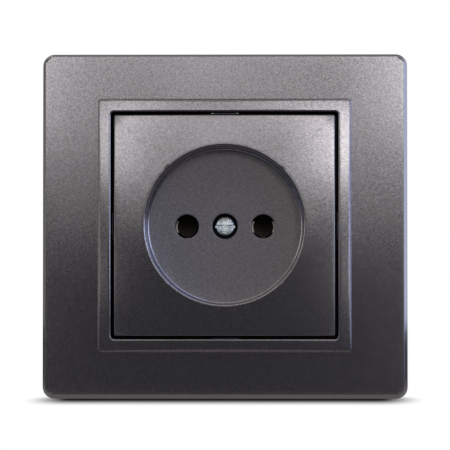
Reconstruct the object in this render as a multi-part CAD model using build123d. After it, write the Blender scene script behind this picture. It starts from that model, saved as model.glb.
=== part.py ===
from build123d import *
import math
import os

os.makedirs("parts", exist_ok=True)

# Two-pin wall socket. Sizes in millimetres. X points right, Z up, and the front looks along -Y.
# The wall surface is the plane Y = 0 and the origin lies on the axis of the plug recess.
# A depth is a Y value: negative in front of the wall, positive inside the wall box.

# Outer frame
frame_width = 90.8
frame_height = 85.8
frame_depth = 8.2
frame_draft = 1.2
frame_wall = 2.0
frame_corner = 2.9
frame_edge = 0.15
frame_rib = 1.2

# Front surface shared by the trim ring and the cover plate, a very shallow ball
dome_radius = 700.0
dome_apex = -10.2

# Trim ring
ring_root = 62.5
ring_lean = 0.6
ring_corner = 0.8
ring_opening = 56.0
ring_opening_corner = 1.0
ring_inner_edge = 0.4
ring_skirt_wall = 1.4
ring_skirt_gap = 0.2
ring_ledge_opening = 52.4
ring_ledge = 1.2
snap_reach = 0.9
snap_length = 6.0
snap_height = 2.0
snap_spacing = 24.0
snap_gap = 0.1

# Cover plate
plate_gap = 0.8
plate_lean = 0.1
plate_corner = 0.4
plate_edge = 0.15
plate_wall = 1.6
plate_front_wall = 2.0
plate_flange = 0.6
plate_flange_depth = 1.2
plate_rib = 1.2
mark_width = 2.0
mark_height = -4.9
mark_reach = 0.6

# Plug recess in the cover plate
recess_radius = 19.5
recess_rim = 0.5
recess_floor_round = 0.8
recess_floor = 0.6
recess_wall = 1.8
recess_bottom = 2.0
pin_spacing = 19.0
pin_hole_radius = 2.95
pin_hole_edge = 0.25

# Cover screw, its seat in the recess and its threaded insert in the base
screw_radius = 1.5
screw_head_radius = 2.45
screw_head_height = 1.9
screw_head_edge = 0.35
screw_slot = 0.8
screw_slot_depth = 0.9
screw_length = 11.0
screw_hole_gap = 0.25
screw_seat_gap = 0.7
screw_seat_depth = 2.6
screw_boss_wall = 1.35
screw_boss_depth = 1.4
insert_radius = 2.9
insert_length = 7.0
insert_flange = 0.5
thread_gap = 0.05

# Mounting bracket
bracket_margin = 5.5
bracket_clear = 0.3
bracket_thickness = 1.0
bracket_chamfer = 8.0
bracket_gap = 0.5
box_screw_spacing = 60.0
box_screw_hole_radius = 1.75
box_slot_sweep = 26.0
box_screw_head = 3.0
box_screw_head_height = 1.2
box_screw_head_gap = 0.4
bead_length = 30.0
bead_width = 2.4
bead_height = 0.6
bead_inset = 2.2

# Rivets between bracket and base
rivet_circle = 24.5
rivet_radius = 1.1
rivet_bore = 0.7
rivet_head_radius = 1.65
rivet_head = 0.55
rivet_grip = 2.8
rivet_pocket_radius = 2.0

# Contact cover
cover_gap = 0.3
cover_thickness = 2.0
cover_edge_gap = 0.4
cover_boss_gap = 0.5
cover_peg_radius = 1.2
cover_peg_length = 3.6
cover_peg_height = 14.0
cover_pad_width = 4.0

# Base housing
drum_radius = 27.2
drum_depth = 7.2
block_width = 43.0
block_height = 41.0
block_corner = 8.0
base_depth = 24.6
base_wall = 1.8
base_floor = 2.0
fit_gap = 0.3

# Contacts, one to the right of the axis and its mirror image to the left
sleeve_bore = 2.45
sleeve_wall = 0.6
sleeve_front = 0.3
sleeve_flare = 0.45
sleeve_flare_length = 1.2
sleeve_slot = 1.2
sleeve_slot_length = 8.8
strip_depth = 18.0
strip_thickness = 1.0
strip_width = 5.0
strip_eye = 4.0
strip_hole_margin = 0.2
pin_length = 19.0
chamber_radius = 4.8

# Spring clips
clip_thickness = 0.5
clip_length = 4.0
clip_gap = 0.06
clip_opening = 2.6
clip_lip = 0.5

# Terminals
terminal_spacing = 6.0
terminal_centre = 10.6
terminal_height = 12.4
block_margin = 2.9
terminal_block_length = 9.0
terminal_block_height = 7.0
terminal_block_rise = 4.1
wire_bore = 1.6
wire_entry_radius = 1.9
wire_entry_funnel = 0.6
terminal_screw_head_radius = 2.3
terminal_screw_head = 2.0
terminal_screw_clear = 0.5
terminal_screw_tip = 1.0
stud_radius = 0.9
stud_head_radius = 1.5
stud_head = 0.6
stud_rise = 2.4


# Sizes that follow from those above
frame_face = -frame_depth
frame_taper = math.degrees(math.atan(frame_draft / frame_depth))
bracket_size = box_screw_spacing + 2 * bracket_margin
ring_skirt = ring_opening + 2 * ring_skirt_wall
frame_opening = ring_skirt + 2 * ring_skirt_gap
ring_back = -bracket_thickness
ledge_front = ring_back - ring_ledge
plate_width = ring_opening - 2 * plate_gap
flange_front = ledge_front - plate_flange_depth
cup_radius = recess_radius + recess_wall
cup_back = recess_floor + recess_bottom
seat_radius = screw_head_radius + screw_seat_gap
seat_back = recess_floor + screw_seat_depth
boss_radius = seat_radius + screw_boss_wall
boss_back = seat_back + screw_boss_depth
pin_x = pin_spacing / 2
bracket_opening = cup_radius + bracket_gap
cover_front = cup_back + cover_gap
cover_back = cover_front + cover_thickness
cover_radius = bracket_opening - cover_edge_gap
sleeve_outer = sleeve_bore + sleeve_wall
sleeve_mouth = cover_back + sleeve_front
strip_front = strip_depth - strip_thickness
chamber_back = recess_floor + pin_length + 1.0
block_front = strip_front - terminal_block_length
block_top = terminal_height + terminal_block_rise
block_bottom = block_top - terminal_block_height
block_side = terminal_spacing / 2 + block_margin
access_radius = terminal_screw_head_radius + fit_gap
terminal_screw_depth = (block_front + strip_front) / 2
stud_z = terminal_height + stud_rise


def looking_back(depth):
    """The plane at a depth, seen from the front: its own X and Y are the socket's X and Z."""
    return Plane(origin=(0, depth, 0), x_dir=(1, 0, 0), z_dir=(0, -1, 0))


def slab(outline, back, front, taper=0.0):
    """An outline drawn as seen from the front, given thickness from a back depth to a front depth."""
    return extrude(looking_back(back) * outline, amount=back - front, taper=taper)


def rod(radius, x, z, back, front):
    """A round bar along Y."""
    return slab(Pos(x, z) * Circle(radius), back, front)


def upright(radius, x, depth, bottom, upper):
    """A round bar along Z."""
    return extrude(Plane.XY.offset(bottom) * Pos(x, depth) * Circle(radius), amount=upper - bottom)


def block(x0, x1, back, front, z0, z1):
    """A rectangular block between two corners."""
    return Pos((x0 + x1) / 2, (back + front) / 2, (z0 + z1) / 2) * Box(x1 - x0, back - front, z1 - z0)


def turned(points):
    """A solid turned about the Y axis from (radius, depth) points."""
    return revolve(make_face(Polyline(*points, close=True)), axis=Axis.Y)


def four_sides(shape):
    """A shape and its three copies, a quarter turn apart about the Y axis."""
    return [Rot(0, 90 * turn, 0) * shape for turn in range(4)]


def mirrored(shape):
    """The left-hand twin of a right-hand shape."""
    return mirror(shape, about=Plane.YZ)


def front_ball():
    """The ball whose near side is the common front surface of ring and plate."""
    return Pos(0, dome_apex + dome_radius, 0) * Sphere(dome_radius)


def square(width, corner):
    """A square outline with rounded corners."""
    return RectangleRounded(width, width, corner)


def outer_frame():
    """A shallow box with leaning sides and a square opening, ribbed on the inside."""
    shell = slab(RectangleRounded(frame_width, frame_height, frame_corner), 0, frame_face, frame_taper)
    rim = shell.edges().filter_by(lambda e: abs(e.center().Y - frame_face) < 0.01)
    shell = fillet(rim, frame_edge)
    inner_w = frame_width - 2 * frame_wall
    inner_h = frame_height - 2 * frame_wall
    inner_face = frame_face + frame_wall
    shell -= slab(RectangleRounded(inner_w, inner_h, 0.5), 0, inner_face, frame_taper)

    collar_back = -bracket_thickness - box_screw_head + 0.4
    collar_out = frame_opening / 2 + frame_rib
    shell += slab(square(2 * collar_out, 1.5), collar_back, inner_face - 0.5)
    for side in (-1, 1):
        for along in (-1, 0, 1):
            place = along * frame_opening * 0.36
            half = frame_rib / 2
            across = block(-half, half, collar_back, inner_face - 0.5, collar_out - 0.4, inner_h / 2)
            sideways = block(collar_out - 0.4, inner_w / 2, collar_back, inner_face - 0.5, -half, half)
            shell += Pos(place, 0, 0) * (across if side > 0 else mirror(across, about=Plane.XY))
            shell += Pos(0, 0, place) * (sideways if side > 0 else mirrored(sideways))
    shell -= slab(square(frame_opening, ring_corner), 1, frame_face - 1)

    # The back rim stays clear of the bracket, also where the frame is smaller than usual
    room = bracket_size + 2 * bracket_clear
    shell -= slab(Rectangle(room, room), 1, -bracket_thickness - bead_height - bracket_clear)

    window = snap_length + 1.2
    cut = block(-window / 2, window / 2, 0, inner_face, frame_opening / 2 - 1, collar_out + 0.2)
    for place in (-snap_spacing / 2, snap_spacing / 2):
        for one in four_sides(Pos(place, 0, 0) * cut):
            shell -= one
    return shell


def snap_wedge():
    """A ramp on the ring's skirt that springs in behind the frame's front wall, at the top side."""
    root = ring_skirt / 2 - 0.4
    front = frame_face + frame_wall + snap_gap
    reach = ring_skirt / 2 + snap_reach
    points = [(front, root), (front, reach), (front + 0.5, reach), (front + snap_height, root)]
    face = make_face(Plane.YZ.offset(-snap_length / 2) * Polyline(*points, close=True))
    return extrude(face, amount=snap_length, dir=(1, 0, 0))


def trim_ring():
    """A raised square ring with a skirt through the frame and an inward ledge at its back."""
    lean = math.degrees(math.atan(ring_lean / (frame_face - dome_apex - 0.67)))
    crown = slab(square(ring_root, ring_corner), frame_face, dome_apex - 0.5, lean) & front_ball()
    ring = crown + slab(square(ring_skirt, ring_corner), ring_back, frame_face - 0.2)
    for place in (-snap_spacing / 2, snap_spacing / 2):
        for one in four_sides(Pos(place, 0, 0) * snap_wedge()):
            ring += one
    ring -= slab(square(ring_opening, ring_opening_corner), ledge_front, dome_apex - 1)
    ring -= slab(square(ring_ledge_opening, 2.0), 1, ledge_front - 0.1)
    inside = ring_opening / 2 + 0.01
    front = ring.edges().filter_by(lambda e: e.center().Y < frame_face - 0.3)
    rim = front.filter_by(lambda e: max(abs(e.center().X), abs(e.center().Z)) < inside)
    ring = fillet(rim, ring_inner_edge)

    # Room for the heads of the screws that hold the bracket to the wall box
    notch = box_screw_head + box_screw_head_gap
    depth = ring_back - box_screw_head_height - box_screw_head_gap
    room = block(-notch, notch, ring_back + 0.1, depth, ring_ledge_opening / 2 - 1, ring_skirt / 2 + 1)
    for one in four_sides(room):
        ring -= one
    return ring


def plug_cup():
    """The wall and floor of the plug recess as one turned cup, still without holes."""
    lip = dome_apex + 1.0
    edge = cup_back - 0.4
    outline = [(0, cup_back), (cup_radius - 0.4, cup_back), (cup_radius, edge), (cup_radius, lip), (0, lip)]
    cup = turned(outline)
    return cup + rod(boss_radius, 0, 0, boss_back, cup_back - 0.2)


def plug_space():
    """The empty space of the recess, with a rounded floor edge."""
    space = rod(recess_radius, 0, 0, recess_floor, dome_apex - 5)
    return fillet(space.edges().group_by(Axis.Y)[-1], recess_floor_round)


def cover_plate():
    """The square plate with the plug recess, its skirt, its pressing flange and its ribs."""
    taper = math.degrees(math.atan(plate_lean / (flange_front - dome_apex)))
    plate = slab(square(plate_width, plate_corner), flange_front, dome_apex - 1, taper) & front_ball()
    inner = plate_width - 2 * plate_wall
    plate -= slab(square(inner, 1.0), flange_front + 0.1, dome_apex + 0.9 + plate_front_wall)
    flange = slab(square(plate_width + 2 * plate_flange, plate_corner), ledge_front, flange_front)
    flange -= slab(square(inner, 1.0), ledge_front + 0.1, flange_front - 0.1)
    plate += flange
    reach = inner / 2 + 0.2
    for angle in (0, 90):
        rib = block(-reach, reach, flange_front - 0.6, dome_apex + 1.5, -plate_rib / 2, plate_rib / 2)
        plate += Rot(0, angle, 0) * rib
    for angle in (45, 135):
        far = reach * 1.35
        rib = block(-far, far, flange_front - 1.6, dome_apex + 2.0, -plate_rib / 2, plate_rib / 2)
        plate += Rot(0, angle, 0) * rib
    plate += plug_cup()

    side = plate_width / 2
    outside = side - plate_lean - 0.6
    rim = plate.edges().filter_by(
        lambda e: e.center().Y < dome_apex + 1.6 and max(abs(e.center().X), abs(e.center().Z)) > outside
    )
    plate = fillet(rim, plate_edge)

    plate -= plug_space()
    round_edges = plate.edges().filter_by(GeomType.CIRCLE)
    mouth = round_edges.filter_by(lambda e: e.center().Y < dome_apex + 0.6 and e.length > 6 * recess_radius)
    plate = fillet(mouth, recess_rim)
    for x in (-pin_x, pin_x):
        plate -= rod(pin_hole_radius, x, 0, cup_back + 1, recess_floor - 1)
    plate -= rod(seat_radius, 0, 0, seat_back, recess_floor - 1)
    plate -= rod(screw_radius + screw_hole_gap, 0, 0, boss_back + 1, seat_back - 1)
    on_floor = plate.edges().filter_by(lambda e: abs(e.center().Y - recess_floor) < 0.01)
    holes = on_floor.filter_by(GeomType.CIRCLE).filter_by(lambda e: e.length < 5 * recess_radius)
    plate = fillet(holes, pin_hole_edge)

    tip = side - plate_lean + mark_reach
    mark = block(side - 0.5, tip, flange_front, flange_front - 3.2, -mark_width / 2, mark_width / 2)
    return plate + Pos(0, 0, mark_height) * mark


def cover_screw():
    """A small machine screw with a pan head and a combined slot and cross."""
    under = seat_back
    tip = under + screw_length
    head = rod(screw_head_radius, 0, 0, under, under - screw_head_height)
    front = head.edges().filter_by(lambda e: e.geom_type == GeomType.CIRCLE and e.center().Y < under - 0.5)
    head = fillet(front, screw_head_edge)
    screw = head + rod(screw_radius, 0, 0, tip, under - 0.5)
    point = screw.edges().filter_by(lambda e: e.center().Y > tip - 0.01)
    screw = chamfer(point, 0.4)
    floor = under - screw_head_height + screw_slot_depth
    for angle in (0, 90):
        reach = screw_head_radius + 1 if angle == 0 else screw_head_radius * 0.62
        cut = block(-reach, reach, floor, under - screw_head_height - 1, -screw_slot / 2, screw_slot / 2)
        screw -= Rot(0, angle, 0) * cut
    return screw


def threaded_insert():
    """A flanged brass insert pressed into the middle of the base."""
    front = cover_back
    insert = rod(insert_radius - 0.3, 0, 0, front + insert_length, front)
    insert += rod(insert_radius, 0, 0, front + insert_flange, front)
    insert += rod(insert_radius - 0.1, 0, 0, front + insert_length - 1.4, front + 1.6)
    return insert - rod(screw_radius + thread_gap, 0, 0, front + insert_length + 1, front - 1)


def mounting_bracket():
    """A square steel plate with a round opening, box screw holes, slots and pressed beads."""
    plate = slab(Rectangle(bracket_size, bracket_size), 0, -bracket_thickness)
    corners = plate.edges().filter_by(Axis.Y)
    plate = chamfer(corners, bracket_chamfer)
    line = bracket_size / 2 - bead_inset
    bead = slab(SlotOverall(bead_length, bead_width), -0.5, -bracket_thickness - bead_height)
    for side in four_sides(Pos(0, 0, line) * bead):
        plate += side
    thin = 0.6
    groove = slab(SlotOverall(bead_length - 2 * thin, bead_width - 2 * thin), 1, -bead_height)
    for side in four_sides(Pos(0, 0, line) * groove):
        plate -= side
    plate -= rod(bracket_opening, 0, 0, 1, -bracket_thickness - 1)
    for x in (-box_screw_spacing / 2, box_screw_spacing / 2):
        plate -= rod(box_screw_hole_radius, x, 0, 1, -bracket_thickness - 1)
    for start in (90, 270):
        arc = CenterArc((0, 0), box_screw_spacing / 2, start - box_slot_sweep / 2, box_slot_sweep)
        plate -= slab(SlotArc(arc, 2 * box_screw_hole_radius), 1, -bracket_thickness - 1)
    for angle in (45, 135, 225, 315):
        window = Rot(0, 0, angle) * Pos(box_screw_spacing / 2 + 1.5, 0) * SlotOverall(9.0, 3.0, rotation=90)
        plate -= slab(window, 1, -bracket_thickness - 1)
    for x in (-rivet_circle, rivet_circle):
        plate -= rod(rivet_radius + thread_gap, x, 0, 1, -bracket_thickness - 1)
    return plate


def rivet(x):
    """A hollow rivet, its flat head in front of the bracket and its curled end behind the base flange."""
    front = -bracket_thickness
    shank = rod(rivet_radius, x, 0, rivet_grip + 0.3, front - 0.3)
    head = rod(rivet_head_radius, x, 0, front, front - rivet_head)
    head = fillet(head.edges().group_by(Axis.Y)[0], 0.25)
    curl = rod(rivet_head_radius, x, 0, rivet_grip + rivet_head, rivet_grip)
    curl = fillet(curl.edges().group_by(Axis.Y)[-1], 0.25)
    return shank + head + curl - rod(rivet_bore, x, 0, rivet_grip + 2, front - 2)


def contact_cover():
    """The insulating disc over the contacts, with locating pegs and pads that hold the terminal blocks."""
    disc = rod(cover_radius, 0, 0, cover_back, cover_front)
    disc = chamfer(disc.edges().group_by(Axis.Y)[0], 0.4)
    for x in (-pin_x, pin_x):
        disc -= rod(pin_hole_radius, x, 0, cover_back + 1, cover_front - 1)
    disc -= rod(boss_radius + cover_boss_gap, 0, 0, cover_back + 1, cover_front - 1)
    for z in (-cover_peg_height, cover_peg_height):
        peg = rod(cover_peg_radius, 0, z, cover_back + cover_peg_length, cover_back - 0.5)
        disc += chamfer(peg.edges().group_by(Axis.Y)[-1], 0.3)
    half = cover_pad_width / 2
    left = terminal_centre - half
    right = terminal_centre + half
    pad = block(left, right, block_front, cover_back - 0.5, block_bottom + 0.6, block_top - 0.6)
    disc += pad
    disc += mirrored(pad)
    for x in (-drum_radius / 2, drum_radius / 2):
        hollow = Pos(x, -cover_peg_height * 0.8) * SlotOverall(9.0, 3.0)
        disc -= slab(hollow, cover_front + 0.8, cover_front - 1)
    return disc


def contact_space():
    """The room for one contact and its terminal block, open towards the front."""
    space = rod(chamber_radius, pin_x, 0, strip_depth, cover_back - 1)
    space += rod(sleeve_outer + fit_gap, pin_x, 0, chamber_back, cover_back - 1)
    half = strip_width / 2 + fit_gap
    space += block(pin_x - half, pin_x + half, strip_depth, cover_back - 1, 0, block_bottom + 1)
    left = terminal_centre - block_side - fit_gap
    right = terminal_centre + block_side + fit_gap
    space += block(left, right, strip_depth, cover_back - 1, block_bottom - fit_gap, block_top + fit_gap)
    stud_back = strip_depth + stud_head + fit_gap
    space += rod(stud_head_radius + fit_gap, terminal_centre, stud_z, stud_back, strip_depth - 1)
    for x in terminal_places():
        space += upright(access_radius, x, terminal_screw_depth, block_top, block_height / 2 + 1)
        space += rod(wire_entry_radius, x, terminal_height, base_depth + 1, strip_depth - 1)
    return space


def terminal_places():
    """Where the two wires of the right-hand pole enter, as X values."""
    return (terminal_centre - terminal_spacing / 2, terminal_centre + terminal_spacing / 2)


def base_housing():
    """The insulating block: a round flange in front and a squarish body behind, hollowed from both ends."""
    body = rod(drum_radius, 0, 0, drum_depth, 0)
    body += slab(RectangleRounded(block_width, block_height, block_corner), base_depth, drum_depth - 1)
    back = body.edges().filter_by(lambda e: e.center().Y > base_depth - 0.01)
    body = chamfer(back, 0.8)

    # Hollows in the rear: a wide one below, a narrow one between the terminals, a shallow one for the rest
    low = block_height / 2 - base_wall
    wide = block_width - 2 * base_wall
    lower_top = -chamber_radius - base_wall
    lower = RectangleRounded(wide, low + lower_top, 3.0)
    body -= slab(Pos(0, (lower_top - low) / 2) * lower, base_depth + 1, cover_back + 2 * base_floor)
    half = base_wall / 3
    wall = block(-half, half, base_depth - 1.5, cover_back + base_floor, -low - 0.5, lower_top + 0.5)
    for step in (-3, -1, 1, 3):
        body += Pos(step * wide / 10, 0, 0) * wall
    slot_half = terminal_centre - block_side - fit_gap - base_wall
    slot_top = block_height / 2 - base_wall
    slot_front = cover_back + 2 * base_floor
    body -= block(-slot_half, slot_half, base_depth + 1, slot_front, block_bottom - 1, slot_top)
    upper = RectangleRounded(wide, low - lower_top - base_wall, 3.0)
    upper = Pos(0, (low + lower_top + base_wall) / 2) * upper
    shallow = slab(upper, base_depth + 1, chamber_back + base_floor)
    tube = wire_entry_radius + base_wall
    for side in (-1, 1):
        for x in terminal_places():
            shallow -= rod(tube, side * x, terminal_height, base_depth + 2, chamber_back)
    body -= shallow

    body -= rod(bracket_opening, 0, 0, cover_back, -1)
    space = contact_space()
    body -= space
    body -= mirrored(space)
    funnel = Circle(wire_entry_radius + wire_entry_funnel)
    for side in (-1, 1):
        for x in terminal_places():
            mouth = Pos(side * x, terminal_height) * funnel
            body -= slab(mouth, base_depth, base_depth - wire_entry_funnel, 45)

    # Seats for the insert, the cover screw, the pegs of the contact cover and the rivets
    body -= rod(insert_radius - 0.1 + 0.02, 0, 0, cover_back + insert_length, cover_back - 1)
    body -= rod(insert_radius + 0.02, 0, 0, cover_back + insert_flange, cover_back - 1)
    body -= rod(screw_radius + screw_hole_gap, 0, 0, seat_back + screw_length + 1.5, cover_back)
    for z in (-cover_peg_height, cover_peg_height):
        body -= rod(cover_peg_radius + 0.1, 0, z, cover_back + cover_peg_length + 0.3, cover_back - 1)
    for x in (-rivet_circle, rivet_circle):
        body -= rod(rivet_radius + thread_gap, x, 0, base_depth + 1, -1)
        body -= rod(rivet_pocket_radius, x, 0, base_depth + 1, rivet_grip)
    return body


def contact():
    """The right-hand contact: a slotted sleeve with a flared mouth, on a strip with holes for the wires."""
    flare = sleeve_mouth + sleeve_flare_length
    sleeve = turned(
        [
            (sleeve_bore, strip_depth),
            (sleeve_bore, flare),
            (sleeve_bore + sleeve_flare, sleeve_mouth),
            (sleeve_outer + sleeve_flare, sleeve_mouth),
            (sleeve_outer, flare + 0.3),
            (sleeve_outer, strip_depth),
        ]
    )
    half = sleeve_slot / 2
    slot_end = sleeve_mouth + sleeve_slot_length
    sleeve -= block(-half, half, slot_end, sleeve_mouth - 1, -chamber_radius, chamber_radius)
    sleeve = Pos(pin_x, 0, 0) * sleeve
    strip = slab(Pos(pin_x, 0) * Circle(strip_eye), strip_depth, strip_front)
    half = strip_width / 2
    strip += block(pin_x - half, pin_x + half, strip_depth, strip_front, 0, block_bottom + 1)
    head = Rectangle(2 * block_side, block_top - block_bottom)
    strip += slab(Pos(terminal_centre, (block_top + block_bottom) / 2) * head, strip_depth, strip_front)
    strip = fillet(strip.edges().filter_by(Axis.Y).group_by(Axis.Z)[-1], 1.0)
    strip -= rod(sleeve_bore, pin_x, 0, strip_depth + 1, strip_front - 1)
    hole = wire_entry_radius + strip_hole_margin
    for x in terminal_places():
        strip -= rod(hole, x, terminal_height, strip_depth + 1, strip_front - 1)
    strip -= rod(stud_radius + thread_gap, terminal_centre, stud_z, strip_depth + 1, strip_front - 1)
    return sleeve + strip


def spring_clip():
    """An open steel ring round the right-hand sleeve, with its two ends turned outwards."""
    inner = sleeve_outer + clip_gap
    outer = inner + clip_thickness
    front = sleeve_mouth + sleeve_flare_length + 0.6
    back = front + clip_length
    ring = rod(outer, 0, 0, back, front) - rod(inner, 0, 0, back + 1, front - 1)
    half = clip_opening / 2
    for side in (-1, 1):
        edge = side * (half + clip_thickness / 2)
        lip = Pos(inner + clip_lip, edge) * Rectangle(2 * clip_lip + 0.4, clip_thickness)
        ring += slab(lip, back, front)
    ring -= block(0, outer + 2, back + 1, front - 1, -half, half)
    return Pos(pin_x, 0, 0) * Rot(0, 90, 0) * ring


def terminal_block():
    """The right-hand brass block: two wire holes, two screw holes and a stud that holds it to the strip."""
    left = terminal_centre - block_side
    right = terminal_centre + block_side
    brass = block(left, right, strip_front, block_front, block_bottom, block_top)
    brass = chamfer(brass.edges(), 0.3)
    for x in terminal_places():
        brass -= rod(wire_bore, x, terminal_height, strip_front + 1, block_front - 1)
        brass -= upright(screw_radius + thread_gap, x, terminal_screw_depth, terminal_height, block_top + 1)
    brass += rod(stud_radius, terminal_centre, stud_z, strip_depth + stud_head / 2, strip_front - 0.5)
    head = rod(stud_head_radius, terminal_centre, stud_z, strip_depth + stud_head, strip_depth)
    return brass + chamfer(head.edges().group_by(Axis.Y)[-1], 0.25)


def terminal_screw(x):
    """A cheese-head clamping screw standing in a terminal block, half unscrewed."""
    seat = block_top + terminal_screw_clear
    head = upright(terminal_screw_head_radius, x, terminal_screw_depth, seat, seat + terminal_screw_head)
    head = fillet(head.edges().group_by(Axis.Z)[-1], 0.3)
    shank = upright(screw_radius, x, terminal_screw_depth, terminal_height + terminal_screw_tip, seat + 0.5)
    screw = head + chamfer(shank.edges().group_by(Axis.Z)[0], 0.3)
    half = screw_slot / 2
    wide = terminal_screw_head_radius + 1
    floor = seat + terminal_screw_head - screw_slot_depth
    depth = terminal_screw_depth
    return screw - block(x - wide, x + wide, depth + half, depth - half, floor, floor + 5)


inner_x, outer_x = terminal_places()
pieces = {
    "outer_frame": outer_frame(),
    "trim_ring": trim_ring(),
    "cover_plate": cover_plate(),
    "cover_screw": cover_screw(),
    "threaded_insert": threaded_insert(),
    "mounting_bracket": mounting_bracket(),
    "base_housing": base_housing(),
    "contact_cover": contact_cover(),
    "contact_right": contact(),
    "contact_left": mirrored(contact()),
    "spring_clip_right": spring_clip(),
    "spring_clip_left": mirrored(spring_clip()),
    "terminal_block_right": terminal_block(),
    "terminal_block_left": mirrored(terminal_block()),
    "terminal_screw_right_inner": terminal_screw(inner_x),
    "terminal_screw_right_outer": terminal_screw(outer_x),
    "terminal_screw_left_inner": terminal_screw(-inner_x),
    "terminal_screw_left_outer": terminal_screw(-outer_x),
    "rivet_right": rivet(rivet_circle),
    "rivet_left": rivet(-rivet_circle),
}
for name, piece in pieces.items():
    export_step(piece, f"parts/{name}.step")
    print(name, round(piece.volume, 1), len(piece.solids()))
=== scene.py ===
# %% [markdown]
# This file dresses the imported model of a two-pin wall socket. It makes the finished pieces and their surfaces,
# then the floor, the lamps and the camera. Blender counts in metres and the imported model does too, so the sizes
# below are typed in millimetres and multiplied by MM. X points right, Z up, and the front looks along -Y.

# %% Load the frame
import bpy
import bmesh
import math
from mathutils import Matrix, Vector


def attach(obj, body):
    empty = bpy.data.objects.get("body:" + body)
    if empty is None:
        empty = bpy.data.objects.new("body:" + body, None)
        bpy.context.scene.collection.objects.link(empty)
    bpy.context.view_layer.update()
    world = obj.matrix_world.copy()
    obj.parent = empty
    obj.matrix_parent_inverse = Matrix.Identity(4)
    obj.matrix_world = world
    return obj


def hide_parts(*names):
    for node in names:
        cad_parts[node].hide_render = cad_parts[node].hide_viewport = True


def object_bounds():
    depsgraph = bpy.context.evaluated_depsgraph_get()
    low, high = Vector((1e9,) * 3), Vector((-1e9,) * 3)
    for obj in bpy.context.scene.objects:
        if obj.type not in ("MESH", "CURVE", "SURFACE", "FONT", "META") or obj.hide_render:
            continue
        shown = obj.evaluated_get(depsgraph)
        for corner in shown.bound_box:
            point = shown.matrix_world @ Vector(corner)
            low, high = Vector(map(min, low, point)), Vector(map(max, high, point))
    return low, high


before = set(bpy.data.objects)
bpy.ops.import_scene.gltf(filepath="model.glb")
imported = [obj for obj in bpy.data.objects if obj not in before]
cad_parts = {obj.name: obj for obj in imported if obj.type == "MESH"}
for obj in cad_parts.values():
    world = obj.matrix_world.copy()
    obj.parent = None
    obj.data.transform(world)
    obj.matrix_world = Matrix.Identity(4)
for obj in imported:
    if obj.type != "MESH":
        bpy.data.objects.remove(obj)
cad_box = [list(corner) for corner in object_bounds()]
MM = 0.001
print("CAD box in mm:", [[round(v / MM, 2) for v in corner] for corner in cad_box])

# %% [markdown]
# The photograph is taken almost straight from the front, from so far away that the sides of the frame show only
# as thin strips, and a long lens does the same here. The face of the frame is drawn at 4.062 pixels a millimetre,
# and from this place the floor of the recess, 8.8 mm further back, comes out at about 4.01. The strips are a
# little wider on the right and below, so the camera stands a little to the right and low.

# %% Camera
PHOTO = 450
SENSOR = 36.0
PIXELS_PER_MM = 4.062
FACE = -8.2
CAMERA_PLACE = (11.0, -708.0, -22.0)
CENTRE_IN_PHOTO = (224.5, 225.3)


def add_camera():
    """A camera aimed at the middle of the frame's face, which is drawn where the photograph has it."""
    data = bpy.data.cameras.new("camera")
    camera = bpy.data.objects.new("camera", data)
    camera.location = Vector(CAMERA_PLACE) * MM
    aim = Vector((0, FACE * MM, 0)) - camera.location
    camera.rotation_euler = aim.to_track_quat("-Z", "Y").to_euler()
    data.sensor_width = SENSOR
    data.lens = PIXELS_PER_MM * aim.length / MM * SENSOR / PHOTO
    data.shift_x = (PHOTO / 2 - CENTRE_IN_PHOTO[0]) / PHOTO
    data.shift_y = (CENTRE_IN_PHOTO[1] - PHOTO / 2) / PHOTO
    data.clip_start = 0.01
    bpy.context.scene.collection.objects.link(camera)
    bpy.context.scene.camera = camera
    return camera


print("lens in mm:", round(add_camera().data.lens, 1))
bpy.context.scene.view_settings.view_transform = "Standard"

# %% [markdown]
# A surface in Blender is a small tree of nodes. One function adds any node: it takes the node's type, what goes
# into its inputs and its settings. An input is a plain value, another node, or one output of another node. Colours
# are typed as the hex values that a paint program shows, and linear() turns them into what the renderer counts in.


# %% Helpers for surfaces
def linear(hex_value):
    """An sRGB hex colour as linear red, green, blue and alpha."""
    parts = [int(hex_value[i:i + 2], 16) / 255 for i in (0, 2, 4)]
    return [c / 12.92 if c <= 0.04045 else ((c + 0.055) / 1.055) ** 2.4 for c in parts] + [1.0]


def feed(tree, node, inputs):
    """Gives a node its inputs, by name or number: plain values, nodes, or single outputs of nodes."""
    for key, value in inputs.items():
        source = value.outputs[0] if isinstance(value, bpy.types.Node) else value
        if isinstance(source, bpy.types.NodeSocket):
            tree.links.new(source, node.inputs[key])
        else:
            node.inputs[key].default_value = source


def add(tree, kind, inputs=None, stops=(), **settings):
    """Adds one node with its inputs and settings. Stops are a colour ramp's (position, colour) pairs."""
    node = tree.nodes.new(kind)
    for key, value in settings.items():
        setattr(node, key, value)
    feed(tree, node, inputs or {})
    for number, (position, colour) in enumerate(stops):
        if number >= len(node.color_ramp.elements):
            node.color_ramp.elements.new(position)
        node.color_ramp.elements[number].position = position
        node.color_ramp.elements[number].color = linear(colour)
    return node


def new_material(name, **values):
    """A material with one Principled shader. Returns it with its tree, the shader and Object coordinates."""
    material = bpy.data.materials.new(name)
    material.use_nodes = True
    tree = material.node_tree
    tree.nodes.clear()
    plain = {key.replace("_", " "): value for key, value in values.items()}
    shader = add(tree, "ShaderNodeBsdfPrincipled", plain)
    add(tree, "ShaderNodeOutputMaterial", {"Surface": shader})
    return material, tree, shader, add(tree, "ShaderNodeTexCoord").outputs["Object"]


def per(size):
    """The texture scale that draws a pattern with lumps of that many millimetres."""
    return 1 / (size * MM)


print("mid grey in linear values:", round(linear("808080")[0], 3))

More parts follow.
